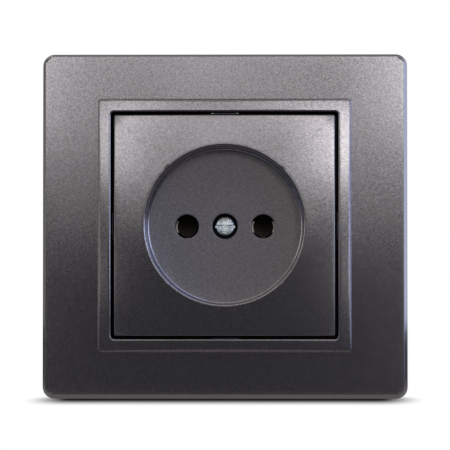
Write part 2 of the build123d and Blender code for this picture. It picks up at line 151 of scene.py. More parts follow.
# %% [markdown]
# Frame, ring and cover plate are moulded ABS with a sprayed metallic lacquer: plum grey paint with fine aluminium
# flakes under a satin clear coat. Real flakes are 0.02 to 0.05 mm across and would be lost at this size, so they
# are drawn 0.2 mm across. Each flake reflects a little more or less than its neighbours, which gives the grain
# that the photograph shows. The spray lands drier on the flat floor of the plug recess, so that is rougher, and it
# doesn't reach into the gap round the cover plate or into the holes, where the dark plastic is bare. That bare
# plastic is drawn near black and not metallic, which is also painted shade for the darkness deep in the gap and
# holes.


# %% Metallic lacquer
FLAKE = 0.2
SATIN = 0.13
DRY = 0.44
GAP_OUTSIDE = 28.05
RECESS_OUTSIDE = 20.4
# Depths between which the gap gets bare, the spray gets drier and the holes get bare; the bare plastic is near
# black, as painted shade
GAP_DEPTHS = (-9.3, -8.6)
FLOOR_DEPTHS = (0.48, 0.6)
HOLE_DEPTHS = (0.66, 0.8)


def metallic_lacquer():
    material, tree, shader, coords = new_material(
        "graphite_metallic_lacquer", Coat_Weight=0.2, Coat_Roughness=0.12, Coat_IOR=1.5)
    place = add(tree, "ShaderNodeSeparateXYZ", {0: coords})
    x, y, z = place.outputs
    across, height = (add(tree, "ShaderNodeMath", {0: axis}, operation="ABSOLUTE") for axis in (x, z))
    square = add(tree, "ShaderNodeMath", {0: across, 1: height}, operation="MAXIMUM")
    flat = add(tree, "ShaderNodeCombineXYZ", {0: across, 1: height})
    radius = add(tree, "ShaderNodeVectorMath", {0: flat}, operation="LENGTH").outputs["Value"]
    inside = add(tree, "ShaderNodeMath", {0: square, 1: GAP_OUTSIDE * MM}, operation="LESS_THAN")
    outside = add(tree, "ShaderNodeMath", {0: radius, 1: RECESS_OUTSIDE * MM}, operation="GREATER_THAN")
    in_gap = add(tree, "ShaderNodeMath", {0: inside, 1: outside}, operation="MULTIPLY")
    sunk = add(tree, "ShaderNodeMapRange", {
        "Value": y, "From Min": GAP_DEPTHS[0] * MM, "From Max": GAP_DEPTHS[1] * MM})
    gap = add(tree, "ShaderNodeMath", {0: in_gap, 1: sunk}, operation="MULTIPLY")
    hole = add(tree, "ShaderNodeMapRange", {
        "Value": y, "From Min": HOLE_DEPTHS[0] * MM, "From Max": HOLE_DEPTHS[1] * MM})
    # Bare plastic in the gap and the holes: partly the real unsprayed moulding, partly painted shade
    bare_and_shade = add(tree, "ShaderNodeMath", {0: gap, 1: hole}, operation="MAXIMUM")

    flakes = add(tree, "ShaderNodeTexVoronoi", {"Vector": coords, "Scale": per(FLAKE)})
    cells = add(tree, "ShaderNodeSeparateColor", {"Color": flakes.outputs["Color"]})
    drift = add(tree, "ShaderNodeTexNoise", {"Vector": coords, "Scale": per(2 * FLAKE), "Detail": 3.0})
    grain = add(tree, "ShaderNodeMath", {0: cells, 1: 0.8, 2: drift}, operation="MULTIPLY_ADD")
    tone = add(tree, "ShaderNodeMapRange", {"Value": grain, "From Min": 0.5, "From Max": 1.3})
    paint = add(tree, "ShaderNodeValToRGB", {"Fac": tone}, [(0.0, "a8a3a6"), (1.0, "ccc7ca")])
    # Near-black colour of the bare plastic, which also serves as painted shade deep in the gap and the holes
    colour = add(tree, "ShaderNodeMix", {0: bare_and_shade, 6: paint, 7: linear("1d1b1c")}, data_type="RGBA")
    metal = add(tree, "ShaderNodeMapRange", {"Value": bare_and_shade, "To Min": 0.95, "To Max": 0.0})

    dry = add(tree, "ShaderNodeMapRange", {
        "Value": y, "From Min": FLOOR_DEPTHS[0] * MM, "From Max": FLOOR_DEPTHS[1] * MM,
        "To Min": SATIN, "To Max": DRY})
    rough = add(tree, "ShaderNodeMath", {0: drift, 1: 0.04, 2: dry}, operation="MULTIPLY_ADD")
    dull = add(tree, "ShaderNodeMath", {0: bare_and_shade, 1: 0.3, 2: rough}, operation="MULTIPLY_ADD")
    bump = add(tree, "ShaderNodeBump", {"Height": grain, "Distance": 0.004 * MM, "Strength": 0.13})
    feed(tree, shader, {
        "Base Color": colour.outputs[2], "Metallic": metal, "Roughness": dull, "Normal": bump})
    return material


LACQUER = metallic_lacquer()
print(LACQUER.name, "nodes:", len(LACQUER.node_tree.nodes))

# %% [markdown]
# Screws and bracket are zinc plated steel. Bright zinc with a clear blue passivation is cool and uneven: the
# plating shows a cloudy grain of a millimetre or so, and handling leaves scuffs that scatter light in small bright
# dabs. The yellow kind, on the terminal screws, has the same structure and another tint, so one function makes
# both. The middle screw is drawn as if it sat a few degrees askew, so that its head catches the light from above.


# %% Zinc plating
SCREW_TILT = 3.5


def upward(tree, tilt):
    """A surface direction turned up by a few degrees, for what sits a little askew."""
    straight = add(tree, "ShaderNodeNewGeometry").outputs["Normal"]
    lift = (0.0, 0.0, math.radians(tilt))
    turned = add(tree, "ShaderNodeVectorMath", {0: straight, 1: lift}, operation="ADD")
    return add(tree, "ShaderNodeVectorMath", {0: turned}, operation="NORMALIZE")


def zinc_plating(name, low, high, scuff, rough, askew=0.0):
    """Plated steel: two tints that cloud into each other, and scuffs of the given size in millimetres."""
    material, tree, shader, coords = new_material(name, Metallic=1.0)
    clouds = add(tree, "ShaderNodeTexNoise", {
        "Vector": coords, "Scale": per(1.3), "Detail": 4.0, "Distortion": 0.6})
    colour = add(tree, "ShaderNodeValToRGB", {"Fac": clouds}, [(0.35, low), (0.65, high)])
    dabs = add(tree, "ShaderNodeTexVoronoi", {"Vector": coords, "Scale": per(scuff)}, feature="SMOOTH_F1")
    fine = add(tree, "ShaderNodeTexNoise", {"Vector": coords, "Scale": per(0.12), "Detail": 2.0})
    height = add(tree, "ShaderNodeMath", {0: fine, 1: 0.3, 2: dabs}, operation="MULTIPLY_ADD")
    spread = add(tree, "ShaderNodeMapRange", {"Value": fine, "To Min": rough - 0.08, "To Max": rough + 0.1})
    bump = add(tree, "ShaderNodeBump", {
        "Height": height, "Distance": 0.03 * MM, "Strength": 0.5, "Normal": upward(tree, askew)})
    feed(tree, shader, {"Base Color": colour, "Roughness": spread, "Normal": bump})
    return material


BLUE_ZINC = zinc_plating("blue_passivated_zinc_on_steel", "a2b5c6", "f4f8fa", 0.5, 0.15, SCREW_TILT)
SHEET_ZINC = zinc_plating("zinc_plated_sheet_steel", "aab4bb", "cdd3d6", 2.5, 0.3)
YELLOW_ZINC = zinc_plating("yellow_passivated_zinc_on_steel", "c9b77a", "ded3a4", 0.8, 0.26)
print("zinc:", BLUE_ZINC.name, SHEET_ZINC.name, YELLOW_ZINC.name)

# %% [markdown]
# The insulating parts are moulded thermosets. Urea, for the base, is a warm off-white with faint flow marks from
# the filler, and its mould was spark eroded, which leaves a fine even grain of about 0.1 mm. Phenolic, for the
# disc over the contacts, is nearly black with pale flecks of wood flour. Both are duller than a thermoplastic.


# %% Moulded thermosets
def moulded_thermoset(name, low, high, fleck, fleck_size, rough):
    """Thermoset with flow marks between two tones, flecks of filler and the grain of an eroded mould."""
    material, tree, shader, coords = new_material(name, IOR=1.55)
    flow = add(tree, "ShaderNodeTexNoise", {
        "Vector": coords, "Scale": per(5.0), "Detail": 5.0, "Distortion": 1.2})
    tone = add(tree, "ShaderNodeValToRGB", {"Fac": flow}, [(0.35, low), (0.65, high)])
    specks = add(tree, "ShaderNodeTexVoronoi", {"Vector": coords, "Scale": per(fleck_size)})
    near = add(tree, "ShaderNodeMapRange", {
        "Value": specks, "From Min": 0.10, "From Max": 0.22, "To Min": 1.0, "To Max": 0.0})
    mixed = add(tree, "ShaderNodeMix", {0: near, 6: tone, 7: linear(fleck)}, data_type="RGBA")
    grain = add(tree, "ShaderNodeTexNoise", {"Vector": coords, "Scale": per(0.1), "Detail": 2.0})
    spread = add(tree, "ShaderNodeMapRange", {"Value": flow, "To Min": rough, "To Max": rough + 0.15})
    bump = add(tree, "ShaderNodeBump", {"Height": grain, "Distance": 0.01 * MM, "Strength": 0.4})
    feed(tree, shader, {"Base Color": mixed.outputs[2], "Roughness": spread, "Normal": bump})
    return material


UREA = moulded_thermoset("compression_moulded_urea", "d9d3c6", "e6e1d6", "cfc7b6", 1.1, 0.42)
PHENOLIC = moulded_thermoset("compression_moulded_phenolic", "141211", "1f1b19", "3a2f27", 0.9, 0.38)
print("thermosets:", UREA.name, PHENOLIC.name)

# %% [markdown]
# The live parts are brass, and what tells their makes apart is the direction of the fine lines. A turned part has
# rings round its axis from the tool's feed, a drawn or milled bar has straight lines along its length, and rolled
# sheet has straight lines and a darker, oxidised tint. Spring steel and nickel plate have the same kinds of lines
# in cool greys. A wave texture draws the lines, bent a little by its own distortion.


# %% Worked metals
def worked_metal(name, low, high, pitch, rough, lines="BANDS", along="X"):
    """Bright metal with tool lines of the given pitch in millimetres, in bands or in rings round an axis."""
    material, tree, shader, coords = new_material(name, Metallic=1.0)
    direction = {"bands_direction": along} if lines == "BANDS" else {"rings_direction": along}
    wave = add(tree, "ShaderNodeTexWave", {
        "Vector": coords, "Scale": per(pitch) / math.tau, "Distortion": 1.5, "Detail": 3.0,
        "Detail Scale": 2.0}, wave_type=lines, **direction)
    tarnish = add(tree, "ShaderNodeTexNoise", {
        "Vector": coords, "Scale": per(2.2), "Detail": 4.0, "Distortion": 0.4})
    colour = add(tree, "ShaderNodeValToRGB", {"Fac": tarnish}, [(0.35, low), (0.65, high)])
    spread = add(tree, "ShaderNodeMapRange", {"Value": tarnish, "To Min": rough + 0.1, "To Max": rough})
    bump = add(tree, "ShaderNodeBump", {"Height": wave, "Distance": 0.006 * MM, "Strength": 0.5})
    feed(tree, shader, {"Base Color": colour, "Roughness": spread, "Normal": bump})
    return material


TURNED_BRASS = worked_metal("turned_brass", "c49a4e", "dcba72", 0.12, 0.22, "RINGS", "Y")
DRAWN_BRASS = worked_metal("drawn_brass_bar", "c29a52", "dab874", 0.18, 0.24)
ROLLED_BRASS = worked_metal("rolled_brass_sheet", "5c4727", "806339", 0.16, 0.26)
SPRING_STEEL = worked_metal("bright_spring_steel", "85888c", "a9abae", 0.15, 0.24, "BANDS", "Y")
NICKEL = worked_metal("nickel_plated_steel", "b3b0a8", "cfccc4", 0.2, 0.2, "RINGS", "Y")
print("materials so far:", len(bpy.data.materials))

# %% [markdown]
# Each pin hole shows pale crescents near the mouth of the contact: painted highlights, standing in for the light
# mirrored in the sleeve. They are well under a millimetre wide. Leaves bent from sheet would be the other way to
# make them, but the packed contact is a flared sleeve and keeps its form, so its brass gets pale rims painted by
# place. Their shading direction is set towards the room, so that they catch the light. The painted highlight is
# left off the inner rim of the left hole.

# %% Painted highlights at the mouths of the contacts
PIN_X = 9.5
RIM_FROM = 2.1
RIM_HALF_HEIGHT = 1.35
RIM_BACK = 6.2
DARK_RIM = (-7.1, 1.0)
FACING_ROOM = (0.0, -1.0, 0.06)


def paint_mouth_highlights(material):
    """Paints pale highlights beside the axis of each pin hole, near the mouth of the sleeve."""
    tree = material.node_tree
    shader = next(node for node in tree.nodes if node.type == "BSDF_PRINCIPLED")
    brass = shader.inputs["Base Color"].links[0].from_socket
    lines = shader.inputs["Normal"].links[0].from_node
    place = add(tree, "ShaderNodeSeparateXYZ", {0: add(tree, "ShaderNodeTexCoord").outputs["Object"]})
    x, y, z = place.outputs
    across = add(tree, "ShaderNodeMath", {0: x}, operation="ABSOLUTE")
    middle = add(tree, "ShaderNodeMath", {0: across, 1: PIN_X * MM, 2: RIM_FROM * MM}, operation="COMPARE")
    beside = add(tree, "ShaderNodeMath", {0: 1.0, 1: middle}, operation="SUBTRACT")
    level = add(tree, "ShaderNodeMath", {0: z, 1: 0.0, 2: RIM_HALF_HEIGHT * MM}, operation="COMPARE")
    dark = add(tree, "ShaderNodeMath", {0: x, 1: DARK_RIM[0] * MM, 2: DARK_RIM[1] * MM}, operation="COMPARE")
    front = add(tree, "ShaderNodeMath", {0: y, 1: RIM_BACK * MM}, operation="LESS_THAN")
    highlight_rims = add(tree, "ShaderNodeMath", {0: beside, 1: level}, operation="MULTIPLY")
    bright = add(tree, "ShaderNodeMath", {0: highlight_rims, 1: dark}, operation="SUBTRACT", use_clamp=True)
    highlight_mask = add(tree, "ShaderNodeMath", {0: bright, 1: front}, operation="MULTIPLY")
    # Pale colour painted on the brass as a highlight where the mask is
    colour = add(tree, "ShaderNodeMix", {0: highlight_mask, 6: brass, 7: linear("d9d4cc")}, data_type="RGBA")
    feed(tree, shader, {"Base Color": colour.outputs[2]})
    # Under the painted highlight the shading direction is turned towards the room, so it catches the lamps
    straight = add(tree, "ShaderNodeNewGeometry").outputs["Normal"]
    way = add(tree, "ShaderNodeMix", {0: highlight_mask, 4: straight, 5: FACING_ROOM}, data_type="VECTOR")
    feed(tree, lines, {"Normal": way.outputs[1]})


paint_mouth_highlights(ROLLED_BRASS)
print(ROLLED_BRASS.name, "nodes:", len(ROLLED_BRASS.node_tree.nodes))

# %% [markdown]
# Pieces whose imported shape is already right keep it. Only the material in their slots changes.

# %% Surfaces of the carried-over pieces
carried = {
    "mounting_bracket": SHEET_ZINC, "base_housing": UREA, "contact_cover": PHENOLIC,
    "contact_left": ROLLED_BRASS, "contact_right": ROLLED_BRASS,
    "terminal_block_left": DRAWN_BRASS, "terminal_block_right": DRAWN_BRASS,
    "spring_clip_left": SPRING_STEEL, "spring_clip_right": SPRING_STEEL,
    "rivet_left": NICKEL, "rivet_right": NICKEL,
}
for name, material in carried.items():
    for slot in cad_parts[name].material_slots:
        slot.material = material
print("carried over:", len(carried), "nodes")

# %% [markdown]
# The frame, the ring and the cover plate are injection moulded, so every edge has a small radius, and each piece
# is one closed skin. Such a skin could be cut from boxes, but a loft is cleaner: a section, drawn as a few corners
# with a radius each, is carried round a rounded rectangle, and its points become rows that quads join.

# %% Lofting
ARC_STEPS = 5
CORNER_STEPS = 8
SIDE_STEPS = 24
DOME_RADIUS = 700.0
DOME_APEX = -10.2


def dome(x, z):
    """Depth of the shallow ball that ring and plate share as their front."""
    return DOME_APEX + DOME_RADIUS - math.sqrt(DOME_RADIUS ** 2 - x * x - z * z)


def outline(half_x, half_z, corner):
    """Places on a rounded rectangle, each with its outward direction, from the right side anticlockwise."""
    places = []
    signs = ((1, 1), (-1, 1), (-1, -1), (1, -1))
    for quarter in range(4):
        centre = [sign * (half - corner) for sign, half in zip(signs[quarter], (half_x, half_z))]
        after = [sign * (half - corner) for sign, half in zip(signs[(quarter + 1) % 4], (half_x, half_z))]
        for step in range(CORNER_STEPS + 1):
            angle = math.radians(90 * (quarter + step / CORNER_STEPS))
            way = (math.cos(angle), math.sin(angle))
            places.append((centre[0] + corner * way[0], centre[1] + corner * way[1], *way))
        for step in range(1, SIDE_STEPS):
            part = step / SIDE_STEPS
            mid = [a + (b - a) * part for a, b in zip(centre, after)]
            places.append((mid[0] + corner * way[0], mid[1] + corner * way[1], *way))
    return places


def circle_like(base, radius):
    """A circle whose places lie in the same directions from the axis as those of an outline."""
    angles = [math.atan2(z, x) for x, z, _, _ in base]
    return [(radius * math.cos(a), radius * math.sin(a), math.cos(a), math.sin(a)) for a in angles]


def even_circle(radius, steps, x0=0.0):
    """A circle of evenly spaced places about the axis through x0."""
    ways = [(math.cos(a), math.sin(a)) for a in (math.tau * i / steps for i in range(steps))]
    return [(x0 + radius * c, radius * s, c, s) for c, s in ways]


def rounded(corners):
    """A line through (outward, depth, radius) corners as complex numbers, each corner turned to an arc."""
    line = []
    for i, (out, depth, radius) in enumerate(corners):
        here = complex(out, depth)
        if radius == 0 or i in (0, len(corners) - 1):
            line.append(here)
            continue
        back, on = (complex(*corners[j][:2]) - here for j in (i - 1, i + 1))
        back, on = back / abs(back), on / abs(on)
        half = abs(math.remainder(math.atan2((on / back).imag, (on / back).real), math.tau)) / 2
        middle = (back + on) / abs(back + on)
        centre = here + middle * radius / math.sin(half)
        first = here + back * radius / math.tan(half) - centre
        last = here + on * radius / math.tan(half) - centre
        line += [centre + first * (last / first) ** (step / ARC_STEPS) for step in range(ARC_STEPS + 1)]
    return line


def carry(base, section):
    """Rows of points: a section carried round an outline. It is a list of corners or a function of a place."""
    columns = []
    for x, z, nx, nz in base:
        corners = section(x, z, nx, nz) if callable(section) else section
        columns.append([(x + nx * p.real, p.imag, z + nz * p.real) for p in rounded(corners)])
    return [list(row) for row in zip(*columns)]


def between(row_a, row_b, count):
    """Extra rows between two rows, laid on the shallow ball."""
    rows = []
    for k in range(1, count + 1):
        t = k / (count + 1)
        row = [[a + (b - a) * t for a, b in zip(p, q)] for p, q in zip(row_a, row_b)]
        rows.append([(p[0], dome(p[0], p[2]), p[2]) for p in row])
    return rows


def add_rows(bm, rows, closed=False):
    """Joins rows of points, in millimetres, with quads. Returns the vertices of the two end rows."""
    made = [[bm.verts.new([v * MM for v in point]) for point in row] for row in rows]
    for a, b in zip(made, made[1:] + made[:1] if closed else made[1:]):
        for i in range(len(a)):
            j = (i + 1) % len(a)
            bm.faces.new((a[i], a[j], b[j], b[i]))
    return made[0], made[-1]


def fill_flat(bm, loops):
    """Fills the flat region between closed loops of vertices, the first one outermost."""
    edges = []
    for loop in loops:
        edges += [bm.edges.get(pair) or bm.edges.new(pair) for pair in zip(loop, loop[1:] + loop[:1])]
    bmesh.ops.triangle_fill(bm, use_beauty=True, edges=edges)


def as_mesh(bm, name):
    """Closes a bmesh into a mesh with all its faces outwards."""
    bmesh.ops.remove_doubles(bm, verts=bm.verts, dist=1e-7)
    bmesh.ops.recalc_face_normals(bm, faces=bm.faces)
    mesh = bpy.data.meshes.new(name)
    bm.to_mesh(mesh)
    bm.free()
    return mesh


print("the ball's foremost point lies at", round(dome(0, 0), 2), "mm")

# %% [markdown]
# The outer frame is an open box with leaning sides. Seen in section it goes from its back rim up the leaning side,
# over the flat face and down a collar that guides the ring.

# %% Frame skin
FRAME = (45.4, 42.9, 2.9)
FRAME_HOLLOW = (42.5, 40.0, 0.5)
FRAME_LEAN = 1.2
HOLLOW_LEAN = 0.907
INNER_FACE = -6.2
OPENING = 29.7
COLLAR_WALL = 1.2
COLLAR_BACK = -3.6


def frame_skin():
    rows = carry(outline(*FRAME_HOLLOW), [
        (-0.3, INNER_FACE, 0), (0, INNER_FACE, 0.25), (HOLLOW_LEAN, 0, 0.12), (1.3, 0, 0)])
    rows += carry(outline(*FRAME), [
        (-0.8, 0, 0), (0, 0, 0.12), (-FRAME_LEAN, FACE, 0.15), (-FRAME_LEAN - 1.0, FACE, 0)])
    rows += carry(outline(OPENING, OPENING, 0.8), [
        (1.0, FACE, 0), (0, FACE, 0.12), (0, COLLAR_BACK, 0.1), (COLLAR_WALL, COLLAR_BACK, 0.1),
        (COLLAR_WALL, INNER_FACE, 0.3), (COLLAR_WALL + 0.7, INNER_FACE, 0)])
    bm = bmesh.new()
    add_rows(bm, rows, closed=True)
    return as_mesh(bm, "frame_skin")


# %% [markdown]
# The trim ring is a low crown on a skirt. Its outer edge leans in until it meets the ball, and how far that is
# depends on the place, so the section is worked out anew at each place. A ledge at the back holds the plate.

# %% Ring skin
RING = 31.25
RING_SLOPE = 0.6 / 1.33
RING_OPENING = 28.0
RING_BACK = -1.0
SKIRT = 29.5
LEDGE_OPENING = 26.2
LEDGE_FRONT = -2.2


def ring_skin():
    def crown(x, z, nx, nz):
        lean = 0.5
        for _ in range(4):
            lean = RING_SLOPE * (FACE - dome(x - nx * lean, z - nz * lean))
        inside = lean + 0.35
        top = dome(x - nx * lean, z - nz * lean)
        return [(-inside, dome(x - nx * inside, z - nz * inside), 0), (-lean, top, 0.22),
                (0, FACE, 0.04), (-0.9, FACE, 0)]

    def mouth(x, z, nx, nz):
        return [(-0.6, LEDGE_FRONT, 0), (0, LEDGE_FRONT, 0.15), (0, dome(x, z), 0.35),
                (0.75, dome(x + 0.75 * nx, z + 0.75 * nz), 0)]

    front = carry(outline(RING, RING, 0.8), crown)
    skirt = carry(outline(SKIRT, SKIRT, 0.8), [
        (0.5, FACE, 0), (0, FACE, 0.1), (0, RING_BACK, 0.15), (-0.6, RING_BACK, 0)])
    ledge = carry(outline(LEDGE_OPENING, LEDGE_OPENING, 2.0), [
        (0.9, RING_BACK, 0), (0, RING_BACK, 0.15), (0, LEDGE_FRONT, 0.15), (0.9, LEDGE_FRONT, 0)])
    inner = carry(outline(RING_OPENING, RING_OPENING, 1.0), mouth)
    rows = front + skirt + ledge + inner
    rows += between(inner[-1], front[0], 2)
    bm = bmesh.new()
    add_rows(bm, rows, closed=True)
    return as_mesh(bm, "ring_skin")


# %% [markdown]
# The cover plate is square outside and round inside, so the rows of the round cup take their places in the same
# directions as those of the square, and the rows between them spread evenly. Pin holes and screw seat are tubes of
# their own, and the flat floors between them are filled at the end.

# %% Plate skin
PLATE = 27.2
PLATE_LEAN = 0.1 / 6.8
PLATE_FLANGE = 0.6
FLANGE_FRONT = -3.4
CAVITY = 25.6
CAVITY_FRONT = -7.3
RECESS = 19.5
RECESS_FLOOR = 0.6
CUP = 21.3
CUP_BACK = 2.6
PIN_HOLE = 2.95
SEAT = 3.15
SEAT_BACK = 3.2
SCREW_HOLE = 1.75
BOSS = 4.5
BOSS_BACK = 4.6


def plate_skin():
    def side(x, z, nx, nz):
        lean = PLATE_LEAN * (FLANGE_FRONT - dome(x, z))
        inside = lean + 0.9
        top = dome(x - nx * lean, z - nz * lean)
        return [(0.3, LEDGE_FRONT, 0), (PLATE_FLANGE, LEDGE_FRONT, 0.08), (PLATE_FLANGE, FLANGE_FRONT, 0.08),
                (0, FLANGE_FRONT, 0.08), (-lean, top, 0.2), (-inside, dome(x - nx * inside, z - nz * inside), 0)]

    def rim(x, z, nx, nz):
        return [(1.3, dome(x + 1.3 * nx, z + 1.3 * nz), 0), (0, dome(x, z), 0.5), (0, RECESS_FLOOR, 0.8),
                (-1.6, RECESS_FLOOR, 0)]

    base = outline(PLATE, PLATE, 0.4)
    cup = carry(circle_like(base, CUP), [
        (-1.2, CUP_BACK, 0), (0, CUP_BACK, 0.4), (0, CAVITY_FRONT, 0.3), (0.8, CAVITY_FRONT, 0)])
    cavity = carry(outline(CAVITY, CAVITY, 1.0), [
        (-0.6, CAVITY_FRONT, 0), (0, CAVITY_FRONT, 0.2), (0, LEDGE_FRONT, 0.1), (0.6, LEDGE_FRONT, 0)])
    outer = carry(base, side)
    recess = carry(circle_like(base, RECESS), rim)
    rows = cup + cavity + outer + between(outer[-1], recess[0], 4) + recess
    bm = bmesh.new()
    back_loop, floor_loop = add_rows(bm, rows)
    front_loops, rear_loops = [floor_loop], [back_loop]
    through = [(0.45, RECESS_FLOOR, 0), (0, RECESS_FLOOR, 0.25), (0, CUP_BACK, 0.08), (0.25, CUP_BACK, 0)]
    seat = [(SEAT + 0.45, RECESS_FLOOR, 0), (SEAT, RECESS_FLOOR, 0.25), (SEAT, SEAT_BACK, 0.1),
            (SCREW_HOLE, SEAT_BACK, 0.08), (SCREW_HOLE, BOSS_BACK, 0.1), (BOSS, BOSS_BACK, 0.2),
            (BOSS, CUP_BACK, 0.25), (BOSS + 0.45, CUP_BACK, 0)]
    tubes = [carry(even_circle(PIN_HOLE, 48, x0), through) for x0 in (-PIN_X, PIN_X)]
    tubes.append(carry(even_circle(0.0, 56), seat))
    for tube in tubes:
        first, last = add_rows(bm, tube)
        front_loops.append(first)
        rear_loops.append(last)
    fill_flat(bm, front_loops)
    fill_flat(bm, rear_loops)
    return as_mesh(bm, "plate_skin")


# %% [markdown]
# Ribs, snap hooks and windows repeat, so a Geometry Nodes tree makes them: it lays a row of blocks, turns the row
# round the axis of the socket, and joins the blocks to the skin or cuts them out of it. One tree serves all three
# mouldings, because each use gives it other sizes.


# %% Tree that repeats blocks
def tree_with(name, sockets):
    """A Geometry Nodes tree with a Geometry input and output and further named inputs."""
    tree = bpy.data.node_groups.new(name, "GeometryNodeTree")
    tree.interface.new_socket("Geometry", in_out="INPUT", socket_type="NodeSocketGeometry")
    for title, kind in sockets.items():
        tree.interface.new_socket(title, in_out="INPUT", socket_type="NodeSocket" + kind)
    tree.interface.new_socket("Geometry", in_out="OUTPUT", socket_type="NodeSocketGeometry")
    return tree, tree.nodes.new("NodeGroupInput").outputs


def close_tree(tree, geometry, material):
    """Ends a tree in Realize Instances and Set Material."""
    real = add(tree, "GeometryNodeRealizeInstances", {"Geometry": geometry})
    painted = add(tree, "GeometryNodeSetMaterial", {"Geometry": real, "Material": material})
    add(tree, "NodeGroupOutput", {0: painted})


def block_tree(operation):
    """The tree: one block, its back upper edge pulled forward by Slope, repeated in a row and round the axis."""
    tree, given = tree_with("blocks_" + operation.lower(), {
        "Size": "Vector", "Centre": "Vector", "Slope": "Float", "Count": "Int", "Spacing": "Float",
        "Sides": "Int", "First turn": "Float", "Material": "Material"})
    cube = add(tree, "GeometryNodeMeshCube", {"Size": given["Size"]})
    place = add(tree, "ShaderNodeSeparateXYZ", {0: add(tree, "GeometryNodeInputPosition")})
    behind = add(tree, "FunctionNodeCompare", {0: place.outputs[1], 1: 0.0}, operation="GREATER_THAN")
    above = add(tree, "FunctionNodeCompare", {0: place.outputs[2], 1: 0.0}, operation="GREATER_THAN")
    both = add(tree, "FunctionNodeBooleanMath", {0: behind, 1: above}, operation="AND")
    forward = add(tree, "ShaderNodeMath", {0: given["Slope"], 1: -1.0}, operation="MULTIPLY")
    pull = add(tree, "ShaderNodeCombineXYZ", {1: forward})
    shape = add(tree, "GeometryNodeSetPosition", {"Geometry": cube, "Selection": both, "Offset": pull})

    gaps = add(tree, "ShaderNodeMath", {0: given["Count"], 1: 1.0}, operation="SUBTRACT")
    reach = add(tree, "ShaderNodeMath", {0: gaps, 1: given["Spacing"]}, operation="MULTIPLY")
    half = add(tree, "ShaderNodeMath", {0: reach, 1: -0.5}, operation="MULTIPLY")
    left = add(tree, "ShaderNodeCombineXYZ", {0: half})
    start = add(tree, "ShaderNodeVectorMath", {0: given["Centre"], 1: left}, operation="ADD")
    step = add(tree, "ShaderNodeCombineXYZ", {0: given["Spacing"]})
    line = add(tree, "GeometryNodeMeshLine", {"Count": given["Count"], "Start Location": start, "Offset": step})
    row = add(tree, "GeometryNodeInstanceOnPoints", {"Points": line, "Instance": shape})

    hub = add(tree, "GeometryNodeMeshLine", {"Count": given["Sides"], "Offset": (0.0, 0.0, 0.0)})
    index = add(tree, "GeometryNodeInputIndex")
    share = add(tree, "ShaderNodeMath", {0: math.tau, 1: given["Sides"]}, operation="DIVIDE")
    angle = add(tree, "ShaderNodeMath", {0: index, 1: share, 2: given["First turn"]}, operation="MULTIPLY_ADD")
    turn = add(tree, "ShaderNodeCombineXYZ", {1: angle})
    wheel = add(tree, "GeometryNodeInstanceOnPoints", {"Points": hub, "Instance": row, "Rotation": turn})
    blocks = add(tree, "GeometryNodeRealizeInstances", {"Geometry": wheel})
    merged = add(tree, "GeometryNodeMeshBoolean", operation=operation, solver="EXACT")
    skin_input = "Mesh 1" if operation == "DIFFERENCE" else "Mesh 2"
    tree.links.new(given["Geometry"], merged.inputs[skin_input])
    tree.links.new(blocks.outputs[0], merged.inputs["Mesh 2"])
    close_tree(tree, merged.outputs["Mesh"], given["Material"])
    return tree


JOIN = block_tree("UNION")
CUT = block_tree("DIFFERENCE")
print("nodes in the block tree:", len(JOIN.nodes))

# %% [markdown]
# A tree does nothing by itself. It is put on a short-lived object as a modifier, its inputs are set, and the
# result is taken off as a plain mesh, so the finished piece carries no modifier.


# %% Use of the trees
def evaluated(mesh, kind, settings):
    """A new mesh: the given one after one modifier on a short-lived object."""
    carrier = bpy.data.objects.new("carrier", mesh)
    bpy.context.scene.collection.objects.link(carrier)
    modifier = carrier.modifiers.new(kind.lower(), kind)
    if kind == "NODES":
        tree = settings["tree"]
        modifier.node_group = tree
        for item in tree.interface.items_tree:
            if item.in_out == "INPUT" and item.name in settings:
                modifier[item.identifier] = settings[item.name]
    else:
        for key, value in settings.items():
            setattr(modifier, key, value)
    result = bpy.data.meshes.new_from_object(carrier.evaluated_get(bpy.context.evaluated_depsgraph_get()))
    bpy.data.objects.remove(carrier)
    return result


def with_blocks(mesh, tree, material, size, centre, count=1, spacing=0.0, sides=1, first_turn=0.0, slope=0.0):
    """The mesh with blocks joined or cut, sizes in millimetres and turns in degrees."""
    return evaluated(mesh, "NODES", {
        "tree": tree, "Size": [v * MM for v in size], "Centre": [v * MM for v in centre], "Slope": slope * MM,
        "Count": count, "Spacing": spacing * MM, "Sides": sides, "First turn": math.radians(first_turn),
        "Material": material})


def add_piece(name, mesh, material, replaced, sharp=32.0):
    """Gives a finished mesh its smooth shading and its surface, and puts it in the place of CAD nodes."""
    mesh.materials.clear()
    mesh.materials.append(material)
    mesh.shade_smooth()
    mesh.set_sharp_from_angle(angle=math.radians(sharp))
    mesh = evaluated(mesh, "WEIGHTED_NORMAL", {"keep_sharp": True, "weight": 100})
    mesh.name = name
    piece = bpy.data.objects.new(name, mesh)
    bpy.context.scene.collection.objects.link(piece)
    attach(piece, "root")
    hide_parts(*replaced)
    print(name, "faces:", len(mesh.polygons))


# %% [markdown]
# Each moulding is its skin with blocks joined and cut. The frame has three ribs a side, between collar and outer
# wall, and two windows a side for the ring's hooks. The ring has the hooks and a notch a side for screw heads. The
# plate has ribs round the cup, straight and diagonal, and the small moulding mark on its right edge.

# %% Three mouldings
RIB = 1.2
RIB_FROM = 30.4
RIB_SPACING = 21.38
HOOK_SPACING = 24.0

mesh = frame_skin()
for turn, reach in ((0, 40.6), (90, 43.1)):
    size = (RIB, 3.0, reach - RIB_FROM)
    centre = (0, -5.2, (reach + RIB_FROM) / 2)
    mesh = with_blocks(mesh, JOIN, LACQUER, size, centre, 3, RIB_SPACING, 2, turn)
mesh = with_blocks(mesh, CUT, LACQUER, (7.2, 6.2, 2.4), (0, -3.1, 29.95), 2, HOOK_SPACING, 4)
add_piece("frame_moulding", mesh, LACQUER, ["outer_frame"])

